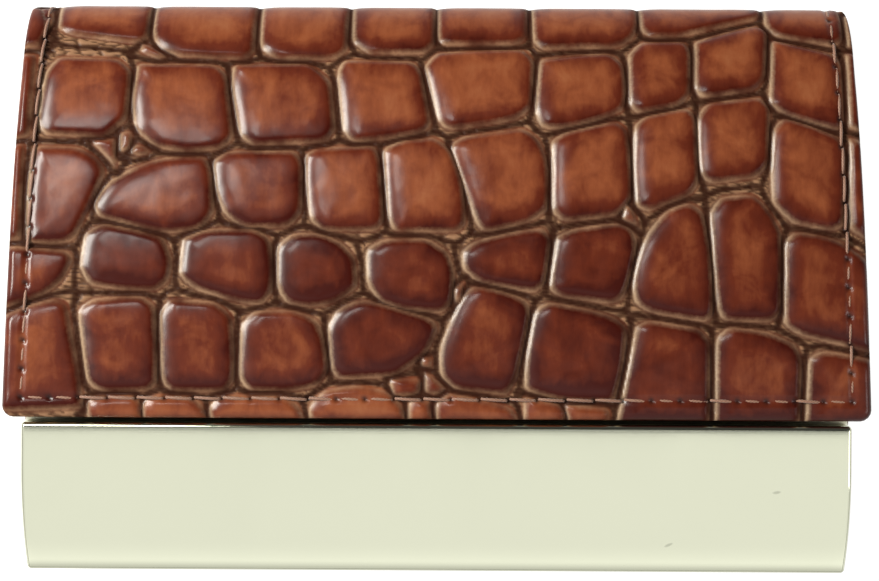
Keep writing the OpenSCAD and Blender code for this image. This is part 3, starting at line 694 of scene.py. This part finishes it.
SHEET_T = 0.5
PANEL_Z, TRAY_Z = tray_high[2], tray_low[2]
NECK_TOP_Y = tray_high[1]
NECK_Z = magnet_high[2] + SHEET_T
SHOULDER_Y = LIP_Y - 0.5
SHOULDER_R, FILLET_R = 0.55, 1.3
ROLL_REACH, BEND_R, HEEL_REACH = 12.0, 0.6, 3.2
ROLL_ANGLE = math.radians(30)
NOTCH_R = 10.0
TRAY_W = tray_high[0] * 2


def curve_of(cy, cz, ry, rz, start, end, steps):
    """Points on an elliptical arc in the section."""
    a = np.radians(np.linspace(start, end, steps))
    return np.stack([cy + ry * np.cos(a), cz + rz * np.sin(a)], 1)


def front_section(inset):
    """The front sheet's section below the neck at a depth under its outer face, from fillet to heel."""
    low_y = tray_low[1]
    run = ROLL_REACH - BEND_R * (1 - math.sin(ROLL_ANGLE))
    drop = run * math.tan(ROLL_ANGLE) / 2
    bend_z = PANEL_Z - drop - BEND_R * math.cos(ROLL_ANGLE)
    fillet, shoulder, bend = FILLET_R + inset, SHOULDER_R - inset, BEND_R - inset
    share = np.linspace(0, 1, 60)
    slope = np.arctan(math.tan(ROLL_ANGLE) * share)
    roll = np.stack([low_y + ROLL_REACH - run * share + inset * np.sin(slope),
                     PANEL_Z - drop * share ** 2 - inset * np.cos(slope)], 1)
    return np.concatenate([
        curve_of(SHOULDER_Y + FILLET_R, NECK_Z + FILLET_R, fillet, fillet, 270, 180, 16),
        curve_of(SHOULDER_Y - SHOULDER_R, PANEL_Z - SHOULDER_R, shoulder, shoulder, 0, 90, 14),
        roll[1:],
        curve_of(low_y + BEND_R, bend_z, bend, bend, 120, 180, 16)[1:],
        curve_of(low_y + HEEL_REACH, bend_z, HEEL_REACH - inset, bend_z - TRAY_Z - inset,
                 180, 270, 40)[1:],
    ])


def make_tray_front():
    """The pressed front sheet with its notched neck, as one closed sheet with rolled side edges."""
    roll = SHEET_T - 0.02
    flat = TRAY_W / 2 - roll
    side = np.radians(np.linspace(0, 90, 9))[1:]
    notch = NOTCH_R * np.sin(np.radians(np.linspace(0, 90, 21)))
    right = np.concatenate([notch, evenly(NOTCH_R, flat, 1.2)[1:], flat + roll * np.sin(side)])
    right_inset = np.concatenate([np.zeros(len(right) - len(side)), roll * (1 - np.cos(side))])
    x = np.concatenate([-right[:0:-1], right])
    inset = np.concatenate([right_inset[:0:-1], right_inset])
    columns = len(x)
    top = NECK_TOP_Y - np.sqrt((NOTCH_R ** 2 - x ** 2).clip(0))
    neck_steps = np.linspace(0, 1, 14)[:-1]

    def face(insets):
        sections = np.array([front_section(v) for v in insets]).transpose(1, 0, 2)
        level = np.full(columns, NECK_Z) - insets
        neck = [np.stack([x, top + (sections[0, :, 0] - top) * t, level], 1) for t in neck_steps]
        below = [np.column_stack([x, row]) for row in sections]
        return np.array(neck + below)

    outer, inner = face(inset), face(np.full(columns, SHEET_T))
    rows = outer.shape[0]
    loop = border(rows, columns)
    a, b = outer.reshape(-1, 3), inner.reshape(-1, 3)
    rim = (a[loop] + b[loop]) / 2
    first_rim = len(a) + len(b)
    ring = first_rim + np.arange(len(loop))
    faces = [grid_faces(rows, columns), grid_faces(rows, columns, first=len(a), flip=True),
             ring_faces(loop, ring, flip=True), ring_faces(ring, loop + len(a), flip=True)]
    points = np.concatenate([a, b, rim])
    obj = make_mesh("tray_front_panel", points, np.concatenate(faces)[:, ::-1])
    side_edge = ease(np.abs(points[:, 0]), TRAY_W / 2 - 0.5, TRAY_W / 2)
    low_edge = ease(-points[:, 1], -tray_low[1] - 1.3, -tray_low[1])
    # the rolled side and lower edges, where the steel's colour is darkened as a painted dark reflection
    set_values(obj, "edge", np.maximum(side_edge, low_edge) * (points[:, 1] < SHOULDER_Y))
    # the neck under the flap, where the steel's colour is darkened as painted shade
    set_values(obj, "neck", ease(points[:, 1], SHOULDER_Y - 0.3, SHOULDER_Y + 0.3))
    return obj


def make_pad():
    """The felt pad: a thin closed slab with soft edges and an uneven fibrous face."""
    edge = 0.3
    x = evenly(pad_low[0] + edge, pad_high[0] - edge, 0.5)
    y = evenly(pad_low[1] + edge, pad_high[1] - edge, 0.5)
    gx, gy = (v.ravel() for v in np.meshgrid(x, y))
    edge_line = np.stack([gx, gy], 1)[border(len(y), len(x))]
    out = loop_normals(edge_line)
    fuzz = 0.04 * smooth_noise(gx, gy, 0.9, 31) + 0.02 * smooth_noise(gx, gy, 3, 32)
    layers = [np.stack([gx, gy, pad_high[2] - 0.06 + fuzz], 1)]
    top, middle, bottom = pad_high[2] - 0.12, (pad_low[2] + pad_high[2]) / 2, pad_low[2] + 0.02
    for push, z in ((0.6, top), (1, middle), (1, bottom)):
        layers.append(np.column_stack([edge_line + out * edge * push, np.full(len(out), z)]))
    faces = sheet_faces(len(y), len(x), len(layers) - 1)
    return make_mesh("card_pad_felt", np.concatenate(layers), faces)


# ---- materials ----

MAROON = (0.030, 0.0035, 0.0018)
DARK_BROWN = (0.072, 0.0125, 0.005)
RED_BROWN = (0.150, 0.040, 0.0145)
LIGHT_BROWN = (0.215, 0.079, 0.032)
RIM_TAN = (0.235, 0.125, 0.070)
# the rims' colour on the scales' left sides: a painted highlight
RIM_PAINTED_HIGHLIGHT = (0.32, 0.22, 0.135)
SKIN = (0.155, 0.085, 0.045)
GROOVE = (0.018, 0.005, 0.0025)


class Nodes:
    """A short way to write a material's nodes."""

    def __init__(self, name):
        self.material = bpy.data.materials.new(name)
        self.material.use_nodes = True
        self.tree = self.material.node_tree
        self.tree.nodes.clear()
        self.out = self.tree.nodes.new("ShaderNodeOutputMaterial")
        self.shader = self.tree.nodes.new("ShaderNodeBsdfPrincipled")
        self.join(self.shader.outputs["BSDF"], self.out.inputs["Surface"])

    def join(self, source, target):
        self.tree.links.new(source, target)

    def give(self, socket, value):
        """Sets a socket to a number or colour, or joins another node's output to it."""
        if isinstance(value, bpy.types.NodeSocket):
            self.join(value, socket)
        else:
            socket.default_value = value

    def node(self, kind, output=0, settings=None, **inputs):
        """Adds a node and returns one output. An input goes by its name, or by its number as i0, i1."""
        made = self.tree.nodes.new("ShaderNode" + kind)
        for key, value in (settings or {}).items():
            setattr(made, key, value)
        for key, value in inputs.items():
            self.give(made.inputs[int(key[1:]) if key[0] == "i" and key[1:].isdigit() else key], value)
        return made.outputs[output]

    def number(self, name):
        return self.node("Attribute", "Fac", dict(attribute_name=name))

    def vector(self, name):
        return self.node("Attribute", "Vector", dict(attribute_name=name))

    def local(self):
        return self.node("TexCoord", "Object")

    def stretch(self, vector, *scale):
        return self.node("Mapping", 0, None, Vector=vector, Scale=scale)

    def math(self, operation, a, b):
        return self.node("Math", 0, dict(operation=operation), i0=a, i1=b)

    def noise(self, vector, size, detail=3.0, rough=0.5, twist=0.0):
        return self.node("TexNoise", "Fac", None, Vector=vector, Scale=size, Detail=detail,
                         Roughness=rough, Distortion=twist)

    def ramp(self, value, *stops):
        """A map from a number to a colour or grey: stops are (place, colour or number)."""
        made = self.tree.nodes.new("ShaderNodeValToRGB")
        ramp = made.color_ramp
        while len(ramp.elements) < len(stops):
            ramp.elements.new(0.5)
        for element, (position, color) in zip(ramp.elements, stops):
            element.position = position
            rgb = color if hasattr(color, "__len__") else (color, color, color)
            element.color = (*rgb, 1.0)
        self.give(made.inputs[0], value)
        return made.outputs[0]

    def span(self, value, low, high, to_low=0.0, to_high=1.0):
        return self.node("MapRange", 0, dict(clamp=True),
                         i0=value, i1=low, i2=high, i3=to_low, i4=to_high)

    def mix(self, share, a, b):
        a, b = (v if isinstance(v, bpy.types.NodeSocket) else (*v, 1.0) for v in (a, b))
        return self.node("Mix", 2, dict(data_type="RGBA"), Factor=share, i6=a, i7=b)

    def bump(self, height, strength, distance):
        return self.node("Bump", 0, None, Height=height, Strength=strength, Distance=distance)

    def set(self, **sockets):
        names = dict(base="Base Color", rough="Roughness", metal="Metallic", normal="Normal",
                     coat="Coat Weight", coat_rough="Coat Roughness", sheen="Sheen Weight",
                     sheen_rough="Sheen Roughness", specular="Specular IOR Level")
        for key, value in sockets.items():
            if key == "base" and not isinstance(value, bpy.types.NodeSocket):
                value = (*value, 1.0)
            self.give(self.shader.inputs[names[key]], value)
        return self.material


def croc_leather():
    """Glossy embossed leather: red-brown scales with tan rims, dark grooves and wrinkled skin."""
    n = Nodes("croc_leather")
    hide = n.vector("hide")
    inside, tone, up = n.number("inside"), n.number("tone"), n.number("up")
    patches = n.noise(hide, 0.28, 3.0, 0.55, 0.5)
    streaks = n.noise(n.stretch(hide, 1.1, 0.4, 1.0), 1.0, 4.0, 0.6)
    fine = n.noise(hide, 1.9, 4.0, 0.65)
    # how light a place in a scale is: the scale's tone (its own colour, and painted shade in the fourth
    # and fifth rows), its middle, patches and streaks, darker towards its lower side and lighter
    # towards its upper one
    light = n.math("MULTIPLY", tone, 0.62)
    for value, *ends in (
            (inside, 0.3, 2.4, -0.12, 0.22), (patches, 0.25, 0.75, -0.18, 0.18),
            (streaks, 0.25, 0.75, -0.08, 0.08), (up, -0.35, -0.95, 0.0, -0.22),
            (up, 0.45, 0.95, 0.0, 0.12)):
        light = n.math("ADD", light, n.span(value, *ends))
    body = n.ramp(light, (0.0, MAROON), (0.32, DARK_BROWN), (0.6, RED_BROWN), (1.0, LIGHT_BROWN))
    # the thin rim where the colour is rubbed through; on the scales' left sides it is kept whole and
    # paler, a painted highlight
    edge = n.math("ADD", inside, n.math("MULTIPLY", n.math("SUBTRACT", fine, 0.5), 0.45))
    rim = n.ramp(n.span(edge, -0.2, 0.8),
                 (0.0, 0.25), (0.26, 0.76), (0.38, 0.56), (0.56, 0.24), (0.82, 0.0))
    left = n.number("left")
    faded = n.span(n.noise(hide, 0.33, 2.0), 0.35, 0.65, 0.22, 1.0)
    rim = n.math("MULTIPLY", rim, n.math("MAXIMUM", faded, left))
    color = n.mix(rim, body, n.mix(left, RIM_TAN, RIM_PAINTED_HIGHLIGHT))
    # wrinkled skin where the scales stand apart
    skin = n.mix(n.span(n.number("ridge"), 0.0, 0.7, 0.2, 1.0), GROOVE, n.mix(fine, SKIN, RIM_TAN))
    color = n.mix(n.number("wide"), color, skin)
    color = n.mix(n.math("MULTIPLY", n.number("valley"), 0.92), color, GROOVE)
    # the needle holes, darkened near black as painted shade
    color = n.mix(n.number("hole"), color, (0.012, 0.005, 0.004))
    pores = n.noise(hide, 4.5, 2.0, 0.5)
    grain = n.node("TexVoronoi", "Distance", dict(feature="F1"), Vector=hide, Scale=3.2)
    texture = n.math("ADD", n.math("MULTIPLY", pores, 0.5), n.math("MULTIPLY", grain, 0.3))
    normal = n.bump(texture, 0.25, 0.00004)
    rough = n.span(n.noise(hide, 0.8, 3.0), 0.3, 0.7, 0.28, 0.38)
    rough = n.math("ADD", rough, n.math("MULTIPLY", n.number("valley"), 0.3))
    coat = n.span(n.number("gloss"), 0.0, 1.0, 0.03, 0.28)
    specular = n.span(n.number("gloss"), 0.0, 1.0, 0.02, 0.07)
    return n.set(base=color, rough=rough, normal=normal, specular=specular, coat=coat, coat_rough=0.22)


def lining_leather():
    """Thin dark brown lining with a fine pebbled grain."""
    n = Nodes("lining_leather")
    hide = n.vector("hide")
    cloud = n.noise(hide, 0.12, 3.0)
    color = n.ramp(cloud, (0.3, (0.030, 0.014, 0.009)), (0.7, (0.055, 0.026, 0.016)))
    grain = n.node("TexVoronoi", "Distance", dict(feature="SMOOTH_F1"), Vector=hide, Scale=2.4)
    wear = n.noise(hide, 0.9, 4.0, 0.6)
    color = n.mix(n.span(grain, 0.15, 0.6, 0.0, 0.35), color, (0.014, 0.007, 0.005))
    normal = n.bump(grain, 0.55, 0.0001)
    rough = n.span(wear, 0.3, 0.7, 0.45, 0.62)
    return n.set(base=color, rough=rough, normal=normal, specular=0.4)


def sewing_thread():
    """Twisted polyester thread: pinkish tan, with painted shade between the plies."""
    n = Nodes("sewing_thread")
    ply = n.span(n.number("ply"), 0.88, 1.12)
    fibre = n.noise(n.local(), 9000.0, 2.0)
    # darker where the ply is low: painted shade between the plies
    color = n.mix(ply, (0.08, 0.035, 0.02), (0.22, 0.11, 0.066))
    color = n.mix(n.span(fibre, 0.35, 0.7, 0.0, 0.3), color, (0.27, 0.15, 0.10))
    normal = n.bump(fibre, 0.3, 0.00003)
    return n.set(base=color, rough=0.6, normal=normal, sheen=0.25, sheen_rough=0.4)


# small handling marks on the tray's front: middle, half length and half width, slant in degrees
SCUFFS = [((37.6, -22.6), (0.55, 0.20), 8), ((25.9, -28.7), (0.60, 0.20), 25)]


def polished_steel():
    """Polished stainless steel: faint polishing lines along X, soft smears, and painted reflection and
    shade in its colour.
    """
    n = Nodes("polished_steel")
    # the steel's colour with a yellow cast, which is a painted reflection of a cream card
    steel_and_card_tint = (0.80, 0.815, 0.63)
    here = n.local()
    brushing = n.noise(n.stretch(here, 60.0, 9000.0, 9000.0), 1.0, 3.0, 0.7)
    smear = n.noise(here, 70.0, 4.0, 0.55, 0.6)
    color = n.mix(n.span(smear, 0.3, 0.75, 0.0, 0.5), steel_and_card_tint, tuple(c * 0.965 for c in steel_and_card_tint))
    # a painted dark reflection along the rolled side and lower edges
    color = n.mix(n.math("MULTIPLY", n.number("edge"), 0.75), color, tuple(c * 0.3 for c in steel_and_card_tint))
    for (x, y), (length, width), slant in SCUFFS:
        spot = n.node("Mapping", 0, dict(vector_type="TEXTURE"), Vector=here,
                      Location=(x * MM, y * MM, 0), Rotation=(0, 0, math.radians(slant)),
                      Scale=(length * MM, width * MM, 1))
        reach = n.node("VectorMath", "Value", dict(operation="LENGTH"), i0=spot)
        color = n.mix(n.span(reach, 0.5, 1.0, 0.5, 0.0), color, tuple(c * 0.45 for c in steel_and_card_tint))
    # the neck under the flap is duller, and its colour is darkened as painted shade under the flap
    neck = n.number("neck")
    color = n.mix(n.math("MULTIPLY", neck, 0.6), color, (0.16, 0.12, 0.075))
    rough = n.math("ADD", n.span(smear, 0.3, 0.7, 0.06, 0.09), n.math("MULTIPLY", neck, 0.26))
    return n.set(base=color, rough=rough, metal=1.0, normal=n.bump(brushing, 0.05, 0.00001))


def board_card():
    """Grey-brown pressed fibre board."""
    n = Nodes("board_card")
    flecks = n.noise(n.stretch(n.local(), 900.0, 2600.0, 900.0), 1.0, 5.0, 0.7)
    color = n.ramp(flecks, (0.3, (0.28, 0.22, 0.15)), (0.6, (0.50, 0.42, 0.31)),
                   (0.75, (0.60, 0.53, 0.42)))
    return n.set(base=color, rough=0.85, normal=n.bump(flecks, 0.5, 0.00008))


def nickel():
    """Nickel plating with small handling marks."""
    n = Nodes("nickel_plate")
    smear = n.noise(n.local(), 400.0, 4.0, 0.6)
    color = n.ramp(smear, (0.3, (0.60, 0.58, 0.54)), (0.7, (0.74, 0.72, 0.68)))
    return n.set(base=color, rough=n.span(smear, 0.3, 0.7, 0.18, 0.34), metal=1.0,
                 normal=n.bump(smear, 0.15, 0.00002))


def tissue_tape():
    """Double-sided tape on a fibrous tissue."""
    n = Nodes("tissue_tape")
    fibre = n.noise(n.local(), 1400.0, 5.0, 0.7, 1.5)
    color = n.ramp(fibre, (0.35, (0.62, 0.60, 0.54)), (0.65, (0.84, 0.83, 0.78)))
    return n.set(base=color, rough=0.55, normal=n.bump(fibre, 0.3, 0.00004))


def black_felt():
    """Thin black felt with lighter stray fibres."""
    n = Nodes("black_felt")
    fibre = n.noise(n.local(), 2600.0, 6.0, 0.75, 2.0)
    color = n.ramp(fibre, (0.35, (0.008, 0.008, 0.009)), (0.6, (0.022, 0.021, 0.022)),
                   (0.78, (0.07, 0.068, 0.066)))
    return n.set(base=color, rough=0.95, normal=n.bump(fibre, 0.8, 0.00012), sheen=0.4, sheen_rough=0.5)


def paint(obj, material):
    """Gives an object one material."""
    obj.data.materials.clear()
    obj.data.materials.append(material)


def soften(obj, width):
    """Rounds the sharp edges of a CAD piece a little."""
    made = obj.modifiers.new("rounded_edges", "BEVEL")
    made.width = width * MM
    made.segments = 3
    made.limit_method = "ANGLE"
    made.angle_limit = math.radians(50)


# ---- the object ----


def across_spine(obj, material, slot, *nodes):
    """Paints a piece that runs over the spine from the case to the flap, bakes its placement and hides
    the CAD parts it replaces.
    """
    paint(obj, material)
    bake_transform(obj)
    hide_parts(*nodes)


thread = sewing_thread()
steel = polished_steel()
board = board_card()
plate = nickel()

across_spine(make_hide(), croc_leather(), "cover_leather", "flap_leather", "back_leather")
across_spine(make_lining(), lining_leather(), "lining", "flap_lining", "back_lining")
across_spine(make_thread("needle_thread_seam", False), thread, "thread",
             "flap_needle_thread", "back_needle_thread")
across_spine(make_thread("bobbin_thread_seam", True), thread, "thread",
             "flap_bobbin_thread", "back_bobbin_thread")

tray_front = make_tray_front()
paint(tray_front, steel)
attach(tray_front, "case")
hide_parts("tray_front")

card_pad = make_pad()
paint(card_pad, black_felt())
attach(card_pad, "case")
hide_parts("card_pad")

for material, slot, rounding, *nodes in (
        (steel, "steel", 0.12, "tray_back"), (steel, "steel", 0.1, "left_end_cap", "right_end_cap"),
        (plate, "magnet", 0.15, "left_tray_magnet", "right_tray_magnet"),
        (plate, "magnet", 0.1, "left_flap_magnet", "right_flap_magnet"),
        (board, "board", 0, "flap_board", "back_board"), (tissue_tape(), "tape", 0, "mounting_tape")):
    for node in nodes:
        cad = frame["nodes"][node]
        paint(cad, material)
        if rounding:
            soften(cad, rounding)

# ---- floor, light and camera ----


def make_floor():
    """A plain white floor under the case, lit from below like a light table."""
    points = [(-1500, -1500, 0), (1500, -1500, 0), (1500, 1500, 0), (-1500, 1500, 0)]
    floor = make_mesh("floor", points, np.array([[0, 1, 2, 3]]), smooth=False)
    n = Nodes("white_floor")
    speck = n.noise(n.local(), 300.0, 2.0)
    paint(floor, n.set(base=n.ramp(speck, (0.3, 0.24), (0.7, 0.26)), rough=0.9, specular=0.1))
    n.shader.inputs["Emission Color"].default_value = (1, 1, 0.99, 1)
    n.shader.inputs["Emission Strength"].default_value = 0.9
    floor.location.z = -0.02 * MM


def area_light(name, at, aim, size, radiance, color=(1, 1, 1)):
    """A soft rectangular lamp at a place in mm, facing a point, with a given brightness of its face."""
    lamp = bpy.data.lights.new(name, "AREA")
    lamp.shape = "RECTANGLE"
    lamp.size, lamp.size_y = size[0] * MM, size[1] * MM
    lamp.energy = radiance * math.pi * lamp.size * lamp.size_y
    lamp.color = color
    obj = bpy.data.objects.new(name, lamp)
    obj.location = Vector(at) * MM
    obj.rotation_euler = (Vector(aim) - Vector(at)).to_track_quat("-Z", "Y").to_euler()
    bpy.context.scene.collection.objects.link(obj)


def make_world():
    """A dim room, darkest overhead and paler at the horizon."""
    world = bpy.data.worlds.new("room")
    bpy.context.scene.world = world
    world.use_nodes = True
    nodes, links = world.node_tree.nodes, world.node_tree.links
    nodes.clear()
    kinds = ("TexCoord", "SeparateXYZ", "ValToRGB", "Background", "OutputWorld")
    where, split, ramp, sky, out = (nodes.new("ShaderNode" + kind) for kind in kinds)
    ramp.color_ramp.interpolation = "EASE"
    low, high = ramp.color_ramp.elements
    low.position, low.color = 0.0, (0.70, 0.70, 0.69, 1)
    high.position, high.color = 0.6, (0.05, 0.05, 0.048, 1)
    links.new(where.outputs["Generated"], split.inputs[0])
    links.new(split.outputs["Z"], ramp.inputs[0])
    links.new(ramp.outputs[0], sky.inputs["Color"])
    links.new(sky.outputs[0], out.inputs["Surface"])


def make_camera():
    """A camera straight above the front of the case."""
    distance = 200
    data = bpy.data.cameras.new("camera")
    data.lens = 74.55
    data.sensor_width = 36
    data.clip_start, data.clip_end = 0.01, 10
    camera = bpy.data.objects.new("camera", data)
    camera.location = Vector((0.24, -0.5, CASE_T + distance)) * MM
    camera.rotation_euler = (0, 0, math.radians(0.33))
    bpy.context.scene.collection.objects.link(camera)
    bpy.context.scene.camera = camera


make_floor()
make_world()
# a lamp from the left draws the bright line along each scale's left side
area_light("left_lamp", (-330, 130, 295), (0, 5, 8), (230, 100), 58, (1, 0.97, 0.90))
# a small window high on the left hazes the first scales of the third row
area_light("window", (-112, 116, 310), (-35, 14, 11), (80, 60), 22, (1, 0.98, 0.93))
# a weak lamp from the right catches the right sides
area_light("right_lamp", (330, -60, 260), (0, 5, 8), (120, 120), 6)
# a wide card level with the camera lights the steel and ends where the flap would mirror it
area_light("front_card", (0, -470, 213), (0, -470, 0), (1200, 900), 0.90)
make_camera()
bpy.context.scene.view_settings.view_transform = "Standard"
bpy.context.scene.view_settings.look = "None"
